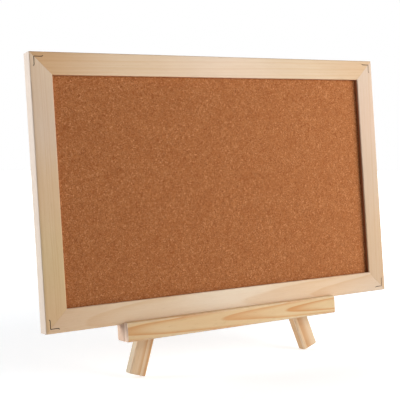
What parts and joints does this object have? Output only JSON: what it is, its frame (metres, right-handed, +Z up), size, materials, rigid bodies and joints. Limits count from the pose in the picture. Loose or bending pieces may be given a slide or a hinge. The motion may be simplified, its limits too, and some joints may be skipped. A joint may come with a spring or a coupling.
{
  "type": "desktop cork bulletin board",
  "caption": "Small framed cork pin board standing on a folding wooden tabletop easel; it lifts off the ledge and the rear leg folds flat.",
  "frame": {"origin": "on the table, under the middle of the whole object's box", "axes": "+X to the right along the board as its user sees it, +Y away from the user, +Z up"},
  "size_m": [0.31, 0.158, 0.2448],
  "materials": {
    "frame_pine": "bare planed pine",
    "ledge_pine": "bare planed pine, strong grain",
    "leg_pine": "bare planed pine, striped grain",
    "cork": "fine granulated cork",
    "hardboard": "smooth brown hardboard",
    "nail_steel": "dull dark steel strip",
    "point_steel": "dull zinc-plated steel",
    "screw_steel": "zinc-plated steel",
    "hinge_brass": "brass-plated, satin"
  },
  "bodies": {
    "easel": {"front_leg_left": "leg_pine", "front_leg_right": "leg_pine", "ledge_shelf": "ledge_pine", "ledge_lip": "ledge_pine", "ledge_screw_left": "screw_steel", "ledge_screw_right": "screw_steel", "head_block": "leg_pine", "head_screw_left": "screw_steel", "head_screw_right": "screw_steel", "hinge_leaf_fixed": "hinge_brass", "hinge_leaf_fixed_screw_left": "hinge_brass", "hinge_leaf_fixed_screw_right": "hinge_brass", "hinge_pin": "hinge_brass"},
    "board": {"frame_rail_top": "frame_pine", "frame_rail_bottom": "frame_pine", "frame_stile_left": "frame_pine", "frame_stile_right": "frame_pine", "cork_sheet": "cork", "backing_panel": "hardboard", "v_nail_top_left": "nail_steel", "v_nail_top_right": "nail_steel", "v_nail_bottom_left": "nail_steel", "v_nail_bottom_right": "nail_steel", "backing_point_01": "point_steel", "backing_point_02": "point_steel", "backing_point_03": "point_steel", "backing_point_04": "point_steel", "backing_point_05": "point_steel", "backing_point_06": "point_steel", "backing_point_07": "point_steel", "backing_point_08": "point_steel", "backing_point_09": "point_steel", "backing_point_10": "point_steel"},
    "rear_leg": {"rear_leg": "leg_pine", "hinge_leaf_moving": "hinge_brass", "hinge_leaf_moving_screw_left": "hinge_brass", "hinge_leaf_moving_screw_right": "hinge_brass"}
  },
  "joints": [
    {"name": "rear_leg_hinge", "type": "hinge", "parent": "easel", "child": "rear_leg", "pos_m": [0, -0.0174, 0.21692], "axis": [-1, 0, 0], "range_deg": [0, 29]},
    {"name": "board_lift", "type": "slide", "parent": "easel", "child": "board", "axis": [0, 0.1271, 0.9919], "range_m": [0, 0.06]}
  ]
}
